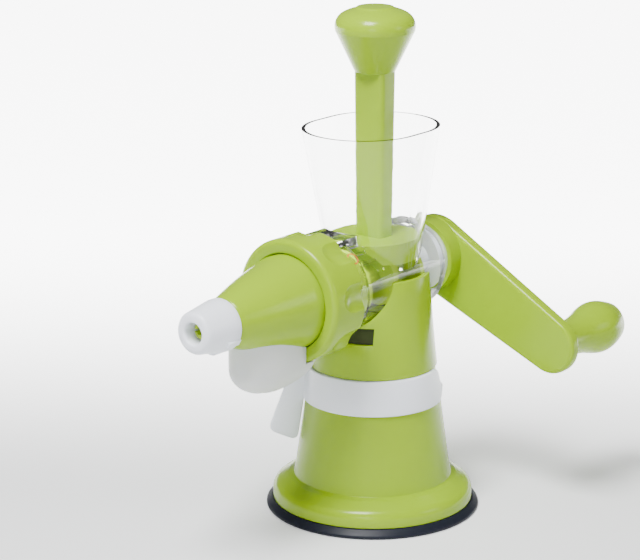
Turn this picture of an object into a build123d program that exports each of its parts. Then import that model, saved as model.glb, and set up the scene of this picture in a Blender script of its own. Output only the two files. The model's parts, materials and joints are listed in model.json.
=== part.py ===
from build123d import *
import math
import os

os.makedirs("parts", exist_ok=True)

# Hand-cranked single-auger juicer on a suction stand. Millimetres, +Z up. The origin is the centre
# of the suction foot on the counter, the auger axis lies along X and the nozzle points to -X.

# ---- overall driving dimensions ----
foot_r = 64.0
axis_z = 144.0
drum_r = 27.5
drum_front_x = -60.5
drum_back_x = 34.0
nozzle_end_x = -160.0

# ---- clearances ----
running_gap = 0.05
sliding_gap = 0.3
loose_gap = 0.6

# ---- drum, its bore and the auger's own sizes ----
drum_wall = 3.0
drum_bore_r = drum_r - drum_wall
auger_gap = 4.5
auger_r = drum_bore_r - auger_gap
shaft_r = 6.0
shaft_square = 1.4 * shaft_r
auger_core_r = shaft_r + 3.0
bush_r = shaft_r + 3.0
bush_flange_r = bush_r + 3.0
bush_flange_t = 2.0
rear_wall_t = 3.0
auger_pitch = 25.0
flight_t = 3.5

# ---- drum collar, neck, ribs and bayonet lugs ----
drum_collar_r = drum_r + 3.0
drum_collar_l = 18.0
collar_back_x = drum_front_x + drum_collar_l
neck_r = drum_r - 6.7
neck_l = 11.6
neck_back_x = drum_back_x + neck_l
rib_w = 1.4
rib_h = 1.6
rib_angles = (205, 218, 231, 244, 296, 309, 322, 335)
lug_r = drum_collar_r + 1.9
lug_t = 4.0
lug_deg = 22.0
lug_count = 3

# ---- hopper ----
hopper_root_z = axis_z + 5.5
hopper_rim_z = axis_z + 88.9
hopper_rim_a = drum_r + 15.6
hopper_rim_b = drum_r + 8.1
hopper_root_a = drum_r - 0.5
hopper_root_b = drum_r - 0.9
hopper_lean = -3.3
hopper_wall = 2.2
hopper_flat = 0.2

# ---- latch, spring and the heights that follow from the drum ----
latch_z = axis_z - drum_r - 4.3
latch_stem_r = 2.2
latch_t = 3.5
latch_recess = 1.2
latch_travel = 3.0
spring_r = 2.6
spring_wire_r = 0.45
spring_l = 8.0
spring_turns = 7
foot_half_x = 15.0
foot_half_y = 12.0
foot_wall = 2.5
pad_half_w = 13.0
pad_l = 15.0
pad_h = drum_r + 3.5
window_half_w = 22.0
window_low_z = latch_z - 2.7
window_high_z = latch_z + 7.3
socket_shelf_z = latch_z - 16.2

# ---- suction foot ----
cup_edge_h = 1.5
cup_rim_h = 5.0
cup_land = 10.0
cup_hub_r = 14.0
cup_hub_h = 9.0
cup_hollow_h = 3.5

# ---- stand ----
saddle_r = drum_r + 0.4
skirt_r = foot_r - 4.0
skirt_edge_h = 4.0
crease_z = 20.0
crease_r = skirt_r - 12.8
stand_top_z = axis_z + 1.8
stand_top_r = drum_r + 5.5
waist_z = stand_top_z - 61.8
waist_r = stand_top_r + 0.4014 * (crease_r - stand_top_r)
stand_wall = 3.0
shelf_t = 3.0
boss_count = 4
boss_ring_r = crease_r - 7.7
boss_r = 5.0
boss_top_z = 34.0
boss_hole_r = 1.75

# ---- base plate ----
plate_z = 12.0
plate_t = 3.5
plate_r = crease_r - 2.7
screw_head_r = 3.6
screw_head_h = 2.0
screw_shank_r = 1.7
screw_l = 15.0

# ---- suction mechanism ----
collar_low_z = socket_shelf_z - 28.5
collar_high_z = socket_shelf_z - 7.5
collar_proud = 1.5
collar_sink = 1.2
collar_start_deg = 94.5
collar_end_deg = 299.0
collar_turn_deg = 70.0
paddle_deg = 132.5
paddle_t = 3.2
paddle_top_r = waist_r + 9.3
paddle_tip_r = foot_r - 1.0
paddle_heel_z = crease_z + 8 / 19 * (collar_low_z - crease_z)
paddle_tip_z = paddle_heel_z + 7.0
cam_shelf_z = collar_low_z - 10.5
cam_r = 20.0
cam_bore_r = 14.5
cam_high_z = socket_shelf_z - 10.0
arm_deg = 200.0
arm_low_z = collar_low_z + 5.5
arm_high_z = arm_low_z + 6.0
arm_half_deg = 6.0
stud_r = 4.5
stud_disc_r = 12.0
stud_disc_h = 2.0
stud_top_z = cam_high_z - 2.0
stud_lift = 2.5
pin_r = 1.5
pin_half_l = cam_r - 1.5
pin_z = cam_shelf_z + 14.0
slot_step_deg = 5.0

# ---- pressing tip, nozzle and pressure sleeve ----
auger_tip_r = 5.0
auger_tip_x = nozzle_end_x + 6.5
outlet_r = auger_tip_r + 1.2
boss_inner_r = auger_tip_r + 3.0
boss_outer_r = boss_inner_r + 2.5
boss_l = 8.0
cap_bore_r = boss_outer_r + 0.5
cap_back_r = cap_bore_r + 4.0
cap_front_r = cap_back_r - 3.2
cap_face_t = 6.0
sleeve_r = cap_bore_r - 0.4
sleeve_l = 8.0

# ---- cone housing and juice screen ----
flange_t = 4.0
gasket_t = 2.0
housing_back_x = drum_front_x - gasket_t
housing_flange_x = housing_back_x - flange_t
housing_wall = 2.5
housing_root_r = drum_collar_r - 2.9
housing_tip_r = boss_outer_r + 3.5
housing_tip_x = nozzle_end_x + 25.5
housing_belly = 0.8
cap_back_x = housing_tip_x - 1.0
nose_root_x = housing_flange_x - 13.5
nose_tip_x = housing_tip_x + 6.5
screen_r = housing_root_r - housing_wall - 1.3
screen_wall = 1.4
screen_tip_r = housing_tip_r - housing_wall - 2.5
screen_tip_x = housing_tip_x + 4.5
screen_hole_r = 0.9
screen_rows = 5
screen_holes = 8
nose_root_r = screen_r - 5.3
nose_tip_r = auger_tip_r + 0.4
nose_ridge_h = 3.0

# ---- locking ring ----
ring_r = lug_r + 3.8
ring_front_x = housing_flange_x - 14.0
ring_back_x = drum_front_x + 6.5
ring_front_round = 5.0
ring_back_round = 1.5
flute_count = 8
flute_first_deg = 172.5
flute_depth = 2.0
flute_cutter_r = 60.0
flute_front_x = ring_front_x + 13.5
flute_round = 7.0

# ---- juice spout ----
spout_axis_z = axis_z - 32.0
spout_wall = 1.8
spout_front_x = housing_tip_x + 10.5
spout_back_x = drum_front_x + 0.5
spout_depth = 16.4
spout_low_x = spout_front_x + 25.0
spout_hole_l = 22.0
spout_hole_w = 13.0
window_front_x = spout_low_x - 12.0
window_back_x = spout_low_x + 11.0
window_half_y = 8.0

# ---- crank ----
seal_t = 1.1
hub_r = neck_r + 2.2
hub_front_x = neck_back_x + seal_t + sliding_gap
arm_front_x = hub_front_x + 10.0
arm_back_x = arm_front_x + 8.5
arm_end_r = 17.2
arm_length = 96.4
arm_drop_deg = 26.2
arm_round = 2.5
bush_front_x = drum_back_x - rear_wall_t - bush_flange_t
auger_back_x = bush_front_x
shaft_front_x = auger_back_x - 30.0
shaft_square_x = hub_front_x + 1.0
shaft_end_x = arm_back_x - 4.5
grip_front_x = arm_back_x + loose_gap
grip_end_x = grip_front_x + 57.9
grip_bulb_r = 15.8
spindle_r = 4.0
spindle_head_r = 6.0
spindle_head_t = 2.5

# ---- pusher ----
stem_x = 14.4
stem_y = 21.6
stem_round = 3.0
stem_draft = 0.9
stem_wall = 2.5
stem_top_z = hopper_rim_z + 34.1
flare_low_r = 12.9
flare_top_z = stem_top_z + 21.5
flare_top_r = 23.1
pusher_top_z = flare_top_z + 14.3
push_foot_low_z = hopper_root_z + 5.0
push_foot_h = 13.0

AUGER_AXIS = Axis((0, 0, axis_z), (1, 0, 0))
arm_end_y = -arm_length * math.cos(math.radians(arm_drop_deg))
arm_end_z = axis_z - arm_length * math.sin(math.radians(arm_drop_deg))


def finish(builder, name):
    """Label a finished piece and write its file."""
    builder.part.label = name
    export_step(builder.part, f"parts/{name}.step")


def stand_r(z):
    """Outer radius of the concave stand wall, a parabola through three named points."""
    points = ((crease_z, crease_r), (waist_z, waist_r), (stand_top_z, stand_top_r))
    total = 0.0
    for i, (zi, ri) in enumerate(points):
        term = ri
        for j, (zj, _) in enumerate(points):
            if j != i:
                term *= (z - zj) / (zi - zj)
        total += term
    return total


def polar(radius, angle_deg):
    """A point in the horizontal plane at a radius and an angle from +X."""
    return (radius * math.cos(math.radians(angle_deg)), radius * math.sin(math.radians(angle_deg)))


def wall_points(inset, low_z, high_z, steps=6):
    """Points on the stand wall, moved inwards by an inset."""
    levels = [low_z + (high_z - low_z) * i / steps for i in range(steps + 1)]
    return [(stand_r(z) - inset, z) for z in levels]


def hopper_half(z, rim, root):
    """Half-width of the straight hopper wall at a height."""
    return root + (rim - root) * (z - hopper_root_z) / (hopper_rim_z - hopper_root_z)


def hopper_face(z, inset):
    """Rounded outline of the hopper at a height, moved inwards by an inset."""
    half_a = hopper_half(z, hopper_rim_a, hopper_root_a) - inset
    half_b = hopper_half(z, hopper_rim_b, hopper_root_b) - inset
    with BuildSketch(Plane.XY.offset(z)) as section:
        with Locations((hopper_centre(z), 0)):
            RectangleRounded(2 * half_a, 2 * half_b, half_b - hopper_flat)
    return section.sketch


def hopper_centre(z):
    """How far the hopper leans towards the nozzle at a height."""
    return hopper_lean * (z - hopper_root_z) / (hopper_rim_z - hopper_root_z)


def turn_x(outline, mode=Mode.ADD):
    """Revolve a closed outline of (x, radius) points about the auger axis."""
    with BuildSketch(Plane.XZ) as profile:
        with BuildLine():
            Polyline(*[(x, axis_z + r) for x, r in outline], close=True)
        make_face()
    revolve(profile.sketch, axis=AUGER_AXIS, mode=mode)


def turn_z(outline, mode=Mode.ADD):
    """Revolve a closed outline of (radius, z) points about the stand axis."""
    with BuildSketch(Plane.XZ) as profile:
        with BuildLine():
            Polyline(*outline, close=True)
        make_face()
    revolve(profile.sketch, axis=Axis.Z, mode=mode)


def tube_x(x0, x1, outer, inner=0.0, mode=Mode.ADD):
    """A plain tube or rod on the auger axis between two stations."""
    turn_x([(x0, inner), (x1, inner), (x1, outer), (x0, outer)], mode)


def box_between(low, high, mode=Mode.ADD):
    """A box given by its lowest and highest corners."""
    centre = [(a + b) / 2 for a, b in zip(low, high)]
    size = [b - a for a, b in zip(low, high)]
    with Locations(tuple(centre)):
        Box(*size, mode=mode)


def axis_plane(angle_deg):
    """Plane holding the auger axis: local x runs along X and local y points out at the angle."""
    a = math.radians(angle_deg)
    return Plane(origin=(0, 0, axis_z), x_dir=(1, 0, 0), z_dir=(0, math.sin(a), -math.cos(a)))


def wedge_z(start_deg, end_deg, reach, low_z, high_z, mode):
    """A vertical wedge about the stand axis, used to keep or cut a turn of a ring."""
    count = max(2, math.ceil((end_deg - start_deg) / 60) + 1)
    angles = [start_deg + (end_deg - start_deg) * i / (count - 1) for i in range(count)]
    corners = [polar(reach, a) for a in angles]
    with BuildSketch(Plane.XY.offset(low_z)) as wedge:
        with BuildLine():
            Polyline((0, 0), *corners, close=True)
        make_face()
    extrude(wedge.sketch, amount=high_z - low_z, mode=mode)


# ---- suction cup: soft dish with a flat sealing land and a raised hub ----
with BuildPart() as suction_cup:
    cup_outline = [
        (0, cup_hollow_h),
        (cup_hub_r, cup_hollow_h),
        (foot_r - cup_land, 0),
        (foot_r, 0),
        (foot_r, cup_edge_h),
        (skirt_r + 0.6, cup_rim_h),
        (skirt_r - stand_wall - 1.5, cup_rim_h),
        (cup_hub_r + 4, cup_hub_h),
        (0, cup_hub_h),
    ]
    turn_z(cup_outline)
finish(suction_cup, "suction_cup")

# ---- stand body: moulded shell with skirt, saddle, shelves, bosses and a latch window ----
with BuildPart() as stand_body:
    with BuildSketch(Plane.XZ):
        with BuildLine():
            skirt_top = cup_rim_h + skirt_edge_h
            base_line = Line((0, cup_rim_h), (skirt_r, cup_rim_h))
            edge_line = Line(base_line @ 1, (skirt_r, skirt_top))
            shoulder_end = (stand_r(crease_z), crease_z)
            shoulder_mid = (skirt_r - 2.6, skirt_top + 5.0)
            shoulder = Spline(edge_line @ 1, shoulder_mid, shoulder_end, tangents=((0, 1), (-1, 0.2)))
            wall_line = Spline(*wall_points(0, crease_z, stand_top_z))
            top_line = Line(wall_line @ 1, (0, stand_top_z))
            Line(top_line @ 1, base_line @ 0)
        make_face()
    revolve(axis=Axis.Z)
    with BuildSketch(Plane.XZ):
        with BuildLine():
            inner_skirt_r = skirt_r - stand_wall
            inner = Spline(*wall_points(stand_wall, crease_z, stand_top_z + 2))
            Polyline(
                inner @ 0,
                (inner_skirt_r - 4, crease_z - 7.5),
                (inner_skirt_r, skirt_top),
                (inner_skirt_r, cup_rim_h - 1),
                (0, cup_rim_h - 1),
                (0, stand_top_z + 2),
                inner @ 1,
            )
        make_face()
    revolve(axis=Axis.Z, mode=Mode.SUBTRACT)
    for shelf_z in (cam_shelf_z, socket_shelf_z):
        with BuildSketch(Plane.XY.offset(shelf_z)):
            Circle(stand_r(shelf_z + shelf_t) - stand_wall + 0.5)
        extrude(amount=shelf_t)
    with BuildSketch(Plane.XY.offset(plate_z + plate_t)):
        with PolarLocations(boss_ring_r, boss_count, start_angle=45):
            Circle(boss_r)
    extrude(amount=boss_top_z - plate_z - plate_t)
    with BuildSketch(Plane.XY.offset(plate_z + plate_t)):
        with PolarLocations(boss_ring_r, boss_count, start_angle=45):
            Circle(boss_hole_r)
    extrude(amount=screw_l, mode=Mode.SUBTRACT)
    with BuildSketch(Plane.XY.offset(cam_shelf_z - 1)):
        Circle(stud_r + loose_gap)
    extrude(amount=shelf_t + 2, mode=Mode.SUBTRACT)
    groove_low = collar_low_z - sliding_gap
    groove_high = collar_high_z + sliding_gap
    groove = [
        (stand_r(groove_low) - collar_sink, groove_low),
        (stand_r(groove_low) + 5, groove_low),
        (stand_r(groove_high) + 5, groove_high),
        (stand_r(groove_high) - collar_sink, groove_high),
    ]
    turn_z(groove, Mode.SUBTRACT)
    tube_x(-foot_r, foot_r, saddle_r, mode=Mode.SUBTRACT)
    window_low = (-foot_r, -window_half_w, window_low_z)
    window_high = (-foot_half_x - 5, window_half_w, window_high_z)
    box_between(window_low, window_high, Mode.SUBTRACT)
    slot_low = arm_low_z - loose_gap
    slot_high = arm_high_z + loose_gap
    slot_start = arm_deg - arm_half_deg - 2
    slot_end = arm_deg + arm_half_deg + collar_turn_deg + 2
    slot_levels = [slot_start + (slot_end - slot_start) * i / 6 for i in range(7)]
    slot_inner = [polar(stand_top_r - 5, a) for a in slot_levels]
    slot_outer = [polar(crease_r + 2.8, a) for a in slot_levels]
    with BuildSketch(Plane.XY.offset(slot_low)):
        with BuildLine():
            Polyline(*slot_outer, *reversed(slot_inner), close=True)
        make_face()
    extrude(amount=slot_high - slot_low, mode=Mode.SUBTRACT)
finish(stand_body, "stand_body")

# ---- base plate, closing the stand above the cup ----
with BuildPart() as base_plate:
    with BuildSketch(Plane.XY.offset(plate_z)):
        Circle(plate_r)
        Circle(stud_r + running_gap, mode=Mode.SUBTRACT)
        with PolarLocations(boss_ring_r, boss_count, start_angle=45):
            Circle(screw_shank_r + running_gap, mode=Mode.SUBTRACT)
    extrude(amount=plate_t)
    with BuildSketch(Plane.XY.offset(plate_z)):
        with PolarLocations(boss_ring_r, boss_count, start_angle=45):
            Circle(screw_head_r + sliding_gap)
    extrude(amount=screw_head_h, mode=Mode.SUBTRACT)
    with BuildSketch(Plane.XY.offset(plate_z + plate_t)):
        Circle(stud_r + 3.5)
        Circle(stud_r + running_gap, mode=Mode.SUBTRACT)
    extrude(amount=8)
finish(base_plate, "base_plate")

# ---- base plate screws, one group of separate solids ----
with BuildPart() as base_plate_screws:
    with BuildSketch(Plane.XY.offset(plate_z)):
        with PolarLocations(boss_ring_r, boss_count, start_angle=45):
            Circle(screw_head_r)
    extrude(amount=screw_head_h)
    with BuildSketch(Plane.XY.offset(plate_z + screw_head_h)):
        with PolarLocations(boss_ring_r, boss_count, start_angle=45):
            Circle(screw_shank_r)
    extrude(amount=screw_l - screw_head_h - 1)
finish(base_plate_screws, "base_plate_screws")

# ---- suction collar: open band round the stand with a radial paddle ----
with BuildPart() as suction_collar:
    band_in = stand_r(collar_low_z) - collar_sink + sliding_gap
    band_in_top = stand_r(collar_high_z) - collar_sink + sliding_gap
    band = [
        (band_in, collar_low_z),
        (stand_r(collar_low_z) + collar_proud, collar_low_z + 0.8),
        (stand_r(collar_high_z) + collar_proud, collar_high_z - 0.8),
        (band_in_top, collar_high_z),
    ]
    turn_z(band)
    wedge_z(collar_start_deg, collar_end_deg, 120, collar_low_z - 1, collar_high_z + 1, Mode.INTERSECT)
    paddle_turn = math.radians(paddle_deg)
    paddle_dir = (math.cos(paddle_turn), math.sin(paddle_turn), 0)
    paddle_plane = Plane(
        origin=(0, 0, 0),
        x_dir=paddle_dir,
        z_dir=(math.sin(paddle_turn), -math.cos(paddle_turn), 0),
    )
    with BuildSketch(paddle_plane) as paddle_sketch:
        with BuildLine():
            Polyline(
                (stand_r(collar_high_z) + 0.2, collar_high_z),
                (paddle_top_r, collar_high_z),
                (paddle_tip_r, paddle_tip_z),
                (stand_r(paddle_heel_z) + 1.0, paddle_heel_z),
                (stand_r(collar_low_z) + 1.0, collar_low_z),
                (stand_r(collar_low_z) + 0.2, collar_low_z),
                close=True,
            )
        make_face()
        outer_corners = paddle_sketch.vertices().sort_by(Axis.X)[-3:]
        fillet(outer_corners, 4.0)
    extrude(amount=paddle_t / 2, both=True)
finish(suction_collar, "suction_collar")

# ---- lift cam: inner rotor with two helical slots and the arm that reaches the collar ----
with BuildPart() as lift_cam:
    with BuildSketch(Plane.XY.offset(cam_shelf_z + shelf_t)):
        Circle(cam_r)
        Circle(cam_bore_r, mode=Mode.SUBTRACT)
    extrude(amount=cam_high_z - cam_shelf_z - shelf_t)
    arm_reach = stand_r(arm_high_z) - collar_sink + 0.1
    with BuildSketch(Plane.XY.offset(arm_low_z)):
        arm_levels = [arm_deg - arm_half_deg, arm_deg, arm_deg + arm_half_deg]
        arm_in = [polar(cam_r - 1, a) for a in arm_levels]
        arm_out = [polar(arm_reach, a) for a in arm_levels]
        with BuildLine():
            Polyline(*arm_out, *reversed(arm_in), close=True)
        make_face()
    extrude(amount=arm_high_z - arm_low_z)
    slot_steps = int(collar_turn_deg / slot_step_deg)
    for step in range(slot_steps + 1):
        back_turn = math.radians(90 - step * slot_step_deg)
        slot_z = pin_z - stud_lift * step / slot_steps
        slot_dir = (math.cos(back_turn), math.sin(back_turn), 0)
        with BuildSketch(Plane(origin=(0, 0, slot_z), z_dir=slot_dir)):
            Circle(pin_r + 0.2)
        extrude(amount=cam_r + 2, both=True, mode=Mode.SUBTRACT)
finish(lift_cam, "lift_cam")

# ---- suction stud and its cross pin ----
with BuildPart() as suction_stud:
    with BuildSketch(Plane.XY.offset(cup_hub_h)):
        Circle(stud_disc_r)
    extrude(amount=stud_disc_h)
    with BuildSketch(Plane.XY.offset(cup_hub_h + stud_disc_h)):
        Circle(stud_r)
    extrude(amount=stud_top_z - cup_hub_h - stud_disc_h)
    with BuildSketch(Plane.XZ.offset(-stud_r - 1)):
        with Locations((0, pin_z)):
            Circle(pin_r)
    extrude(amount=2 * stud_r + 2, mode=Mode.SUBTRACT)
finish(suction_stud, "suction_stud")

with BuildPart() as stud_cross_pin:
    with BuildSketch(Plane.XZ.offset(-pin_half_l)):
        with Locations((0, pin_z)):
            Circle(pin_r)
    extrude(amount=2 * pin_half_l)
finish(stud_cross_pin, "stud_cross_pin")

# ---- drum with hopper, one clear moulding ----
with BuildPart() as drum_hopper:
    drum_outline = [
        (drum_front_x, 0),
        (drum_front_x, drum_collar_r),
        (collar_back_x, drum_collar_r),
        (collar_back_x, drum_r),
        (drum_back_x, drum_r),
        (neck_back_x, neck_r),
        (neck_back_x, 0),
    ]
    turn_x(drum_outline)
    loft([hopper_face(hopper_root_z, 0), hopper_face(hopper_rim_z, 0)], ruled=True)
    drum_foot_low = (-foot_half_x, -foot_half_y, socket_shelf_z + shelf_t)
    drum_foot_high = (foot_half_x, foot_half_y, axis_z - drum_r + 2)
    box_between(drum_foot_low, drum_foot_high)
    pad_back_x = collar_back_x + pad_l
    box_between((ring_back_x + loose_gap, -pad_half_w, axis_z), (pad_back_x, pad_half_w, axis_z + pad_h))
    for angle in rib_angles:
        rib_plane = axis_plane(angle)
        a = math.radians(angle)
        rib_y = drum_r * math.cos(a)
        rib_z = axis_z + drum_r * math.sin(a)
        rib_end_x = -math.sqrt(max(stand_r(rib_z) ** 2 - rib_y**2, 25.0)) - 1.0
        with BuildSketch(rib_plane):
            with Locations(((collar_back_x - 1 + rib_end_x) / 2, drum_r + rib_h / 2 - 0.5)):
                Rectangle(max(rib_end_x - collar_back_x + 1, 2.0), rib_h + 1)
        extrude(amount=rib_w / 2, both=True)
    for i in range(lug_count):
        lug_angle = 90 + 360 * i / lug_count
        with BuildSketch(axis_plane(lug_angle - lug_deg / 2)):
            with Locations((drum_front_x + lug_t / 2, drum_collar_r - 2)):
                Rectangle(lug_t, 2 * (lug_r - drum_collar_r + 2), align=(Align.CENTER, Align.MIN))
            with Locations((drum_front_x + lug_t / 2, lug_r)):
                Rectangle(lug_t + 1, 10, align=(Align.CENTER, Align.MIN), mode=Mode.SUBTRACT)
        revolve(axis=AUGER_AXIS, revolution_arc=lug_deg)
    hopper_inside = [hopper_face(hopper_root_z, hopper_wall), hopper_face(hopper_rim_z, hopper_wall)]
    loft(hopper_inside, ruled=True, mode=Mode.SUBTRACT)
    tube_x(drum_front_x - 1, drum_back_x - rear_wall_t, drum_bore_r, mode=Mode.SUBTRACT)
    tube_x(drum_back_x - rear_wall_t - 1, neck_back_x + 1, bush_r, mode=Mode.SUBTRACT)
    void_x = foot_half_x - foot_wall
    void_y = foot_half_y - foot_wall
    void_top = latch_z + spring_r + loose_gap
    web_x = -foot_half_x + spring_l + latch_travel + 1.5
    box_between((-void_x, -void_y, socket_shelf_z), (web_x, void_y, void_top), Mode.SUBTRACT)
    box_between((web_x + foot_wall, -void_y, socket_shelf_z), (void_x, void_y, void_top), Mode.SUBTRACT)
    with BuildSketch(Plane.YZ.offset(-foot_half_x - 1)):
        with Locations((0, latch_z)):
            Circle(spring_r + spring_wire_r + loose_gap)
    extrude(amount=foot_wall + 2, mode=Mode.SUBTRACT)
finish(drum_hopper, "drum_hopper")

# ---- rear bushing and seal ----
with BuildPart() as rear_bushing:
    tube_x(bush_front_x, bush_front_x + bush_flange_t, bush_flange_r, shaft_r + running_gap)
    tube_x(bush_front_x, neck_back_x, bush_r, shaft_r + running_gap)
finish(rear_bushing, "rear_bushing")

with BuildPart() as rear_seal:
    tube_x(neck_back_x, neck_back_x + seal_t, neck_r - 1, shaft_r + 1)
finish(rear_seal, "rear_seal")

# ---- front gasket between the drum and the juicing section ----
with BuildPart() as front_gasket:
    tube_x(housing_back_x, drum_front_x, drum_collar_r - 0.8, drum_bore_r + 0.8)
finish(front_gasket, "front_gasket")

# ---- front housing: cone with a rear flange, a pulp outlet boss and a juice window ----
with BuildPart() as front_housing:
    cone_mid_x = (nose_root_x + housing_tip_x) / 2
    cone_mid_r = (housing_root_r + housing_tip_r) / 2 + housing_belly
    for inset, mode in ((0.0, Mode.ADD), (housing_wall, Mode.SUBTRACT)):
        with BuildSketch(Plane.XZ):
            with BuildLine():
                cone_line = Spline(
                    (nose_root_x, axis_z + housing_root_r - inset),
                    (cone_mid_x, axis_z + cone_mid_r - inset),
                    (housing_tip_x + inset, axis_z + housing_tip_r - inset),
                )
                Polyline(
                    cone_line @ 1,
                    (housing_tip_x + inset, axis_z),
                    (housing_back_x + inset, axis_z),
                    (housing_back_x + inset, axis_z + housing_root_r - inset),
                    cone_line @ 0,
                )
            make_face()
        revolve(axis=AUGER_AXIS, mode=mode)
    tube_x(housing_back_x - 1, housing_back_x + 5, housing_root_r - housing_wall, mode=Mode.SUBTRACT)
    tube_x(housing_flange_x, housing_back_x, drum_collar_r, housing_root_r - 1)
    tube_x(housing_tip_x - boss_l, housing_tip_x, boss_outer_r)
    tube_x(housing_tip_x - boss_l - 1, housing_tip_x + housing_wall + 1, boss_inner_r, mode=Mode.SUBTRACT)
    window_low = (window_front_x, -window_half_y, axis_z - drum_collar_r)
    window_high = (window_back_x, window_half_y, axis_z - housing_tip_r)
    box_between(window_low, window_high, Mode.SUBTRACT)
finish(front_housing, "front_housing")

# ---- juice screen: perforated cone inside the housing ----
with BuildPart() as juice_screen:
    screen_back_x = housing_back_x
    screen_outline = [
        (screen_back_x, screen_r - screen_wall),
        (screen_back_x, housing_root_r - housing_wall - 0.1),
        (screen_back_x - 2, housing_root_r - housing_wall - 0.1),
        (screen_back_x - 2, screen_r),
        (nose_root_x, screen_r),
        (screen_tip_x, screen_tip_r),
        (screen_tip_x, screen_tip_r - screen_wall),
        (nose_root_x, screen_r - screen_wall),
    ]
    turn_x(screen_outline)
    for row in range(screen_rows):
        hole_x = nose_root_x - 8 - row * 8
        with BuildSketch(Plane.XY.offset(axis_z)):
            with Locations((hole_x, 0)):
                Circle(screen_hole_r)
        hole_tool = extrude(amount=drum_collar_r, mode=Mode.PRIVATE)
        for i in range(screen_holes):
            add(hole_tool.rotate(AUGER_AXIS, 360 / screen_holes * (i + 0.5 * (row % 2))), mode=Mode.SUBTRACT)
finish(juice_screen, "juice_screen")

# ---- juice spout: hollow gutter hung under the cone, open at its lowest point ----
spout_lines = (
    (spout_front_x, 0.5),
    (spout_front_x + 3, 0.5 * spout_depth),
    (spout_front_x + 12, 0.86 * spout_depth),
    (spout_low_x, spout_depth),
    (spout_low_x + 18, 0.92 * spout_depth),
    (spout_back_x - 6, 0.62 * spout_depth),
    (spout_back_x, 0.5),
)


def spout_face(plane, inset, offset_z):
    """Half outline of the spout, closed along its axis, on the given plane."""
    with BuildSketch(plane) as half:
        with BuildLine():
            squeeze = 1 - inset / spout_depth
            shorten = 1 - 2 * inset / (spout_back_x - spout_front_x + 2)
            centre = (spout_front_x + spout_back_x) / 2
            points = [(centre + (x - centre) * shorten, offset_z + r * squeeze) for x, r in spout_lines]
            rim = Spline(*points)
            Polyline(rim @ 1, (points[-1][0], offset_z), (points[0][0], offset_z), rim @ 0)
        make_face()
    return half.sketch


with BuildPart() as juice_spout:
    spout_axis = Axis((0, 0, spout_axis_z), (1, 0, 0))
    wall_top = axis_z - 8
    for inset, mode in ((0.0, Mode.ADD), (spout_wall, Mode.SUBTRACT)):
        revolve(spout_face(Plane.XZ, inset, spout_axis_z), axis=spout_axis, mode=mode)
        for flip in (1, -1):
            half_plane = Plane(origin=(0, 0, spout_axis_z), x_dir=(1, 0, 0), z_dir=(0, 0, flip))
            extrude(spout_face(half_plane, inset, 0), amount=flip * (wall_top - spout_axis_z), mode=mode)
    keep_out = [
        (nozzle_end_x, 0),
        (nozzle_end_x, housing_tip_r + 0.4),
        (housing_tip_x, housing_tip_r + 0.4),
        (cone_mid_x, cone_mid_r + 0.4),
        (ring_front_x - loose_gap, housing_root_r + 0.4),
        (ring_front_x - loose_gap, ring_r + loose_gap),
        (ring_back_x + loose_gap, ring_r + loose_gap),
        (ring_back_x + loose_gap, 0),
    ]
    turn_x(keep_out, Mode.SUBTRACT)
    box_between((nozzle_end_x, -60, axis_z - 12), (0, 60, axis_z + 60), Mode.SUBTRACT)
    spout_low = (spout_low_x - spout_hole_l / 2, -spout_hole_w / 2, spout_axis_z - spout_depth - 2)
    spout_high = (spout_low_x + spout_hole_l / 2, spout_hole_w / 2, spout_axis_z)
    box_between(spout_low, spout_high, Mode.SUBTRACT)
finish(juice_spout, "juice_spout")

# ---- locking ring with bayonet slots and finger flutes ----
with BuildPart() as locking_ring:
    ring_bore_r = drum_collar_r + 0.4
    lip_r = housing_root_r + 0.5
    lip_x = housing_flange_x - 0.1
    with BuildSketch(Plane.XZ) as ring_sketch:
        with BuildLine():
            Polyline(
                (ring_back_x, axis_z + ring_bore_r),
                (lip_x, axis_z + ring_bore_r),
                (lip_x, axis_z + lip_r),
                (ring_front_x, axis_z + lip_r),
                (ring_front_x, axis_z + ring_r),
                (ring_back_x, axis_z + ring_r),
                close=True,
            )
        make_face()
        ring_corners = (
            (ring_front_x, ring_r, ring_front_round),
            (ring_back_x, ring_r, ring_back_round),
            (ring_front_x, lip_r, 1.0),
        )
        for corner_x, corner_r, round_r in ring_corners:
            nearest = ring_sketch.vertices().sort_by_distance((corner_x, axis_z + corner_r, 0))[0]
            fillet(nearest, round_r)
    revolve(axis=AUGER_AXIS)
    tube_x(drum_front_x - 0.3, drum_front_x + lug_t + 0.3, lug_r + 0.3, mode=Mode.SUBTRACT)
    for i in range(lug_count):
        entry_angle = 90 + 60 + 360 * i / lug_count
        with BuildSketch(axis_plane(entry_angle - lug_deg / 2 - 3)):
            with Locations((drum_front_x, drum_collar_r - 1)):
                Rectangle(20, lug_r + 0.3 - drum_collar_r + 1, align=(Align.MIN, Align.MIN))
        revolve(axis=AUGER_AXIS, revolution_arc=lug_deg + 6, mode=Mode.SUBTRACT)
    flute_axis_r = ring_r - flute_depth + flute_cutter_r
    for i in range(flute_count):
        flute_plane = axis_plane(flute_first_deg + 360 * i / flute_count)
        with BuildSketch(flute_plane) as flute_sketch:
            with BuildLine():
                flute_low = ring_r - flute_depth
                Polyline(
                    (flute_front_x, flute_axis_r),
                    (flute_front_x, flute_low + flute_round),
                    (flute_front_x + flute_round * 0.3, flute_low + flute_round * 0.3),
                    (flute_front_x + flute_round, flute_low),
                    (ring_back_x + 2, flute_low),
                    (ring_back_x + 2, flute_axis_r),
                    close=True,
                )
            make_face()
        cutter_axis = Axis(flute_plane.from_local_coords((0, flute_axis_r, 0)), (1, 0, 0))
        revolve(axis=cutter_axis, mode=Mode.SUBTRACT)
finish(locking_ring, "locking_ring")

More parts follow.
